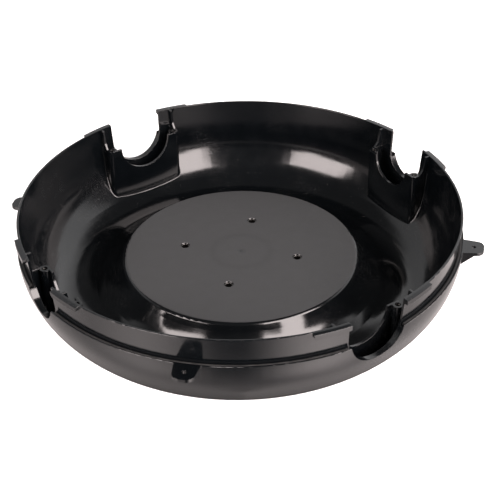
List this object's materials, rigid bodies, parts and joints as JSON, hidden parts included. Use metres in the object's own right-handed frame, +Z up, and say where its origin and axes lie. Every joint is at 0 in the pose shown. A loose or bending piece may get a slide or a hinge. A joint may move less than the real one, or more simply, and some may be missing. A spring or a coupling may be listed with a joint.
{
  "type": "surface cleaner housing",
  "caption": "Round moulded lower housing of a surface cleaner, with a raised round deck, an annular trough, U-shaped side ports, fixing lugs and a sealed ledge.",
  "frame": {"origin": "centre of the foot plane, on the axis of the round body", "axes": "+Z up through the open mouth; +X through the centre of one of the two smaller ports, +Y through one of the two larger ports"},
  "size_m": [0.4462, 0.446, 0.098],
  "materials": {
    "housing_plastic": "semi-gloss black moulded plastic, satin on the deck",
    "seal_rubber": "matt black rubber cord",
    "insert_metal": "plain turned steel"
  },
  "bodies": {
    "root": {"housing_shell": "housing_plastic", "deck_insert_1": "insert_metal", "deck_insert_2": "insert_metal", "deck_insert_3": "insert_metal", "deck_insert_4": "insert_metal", "port_insert_1a": "insert_metal", "port_insert_1b": "insert_metal", "port_insert_2a": "insert_metal", "port_insert_2b": "insert_metal", "port_insert_3a": "insert_metal", "port_insert_3b": "insert_metal", "port_insert_4a": "insert_metal", "port_insert_4b": "insert_metal", "rim_seal_1": "seal_rubber", "rim_seal_2": "seal_rubber", "rim_seal_3": "seal_rubber", "rim_seal_4": "seal_rubber"}
  },
  "joints": []
}
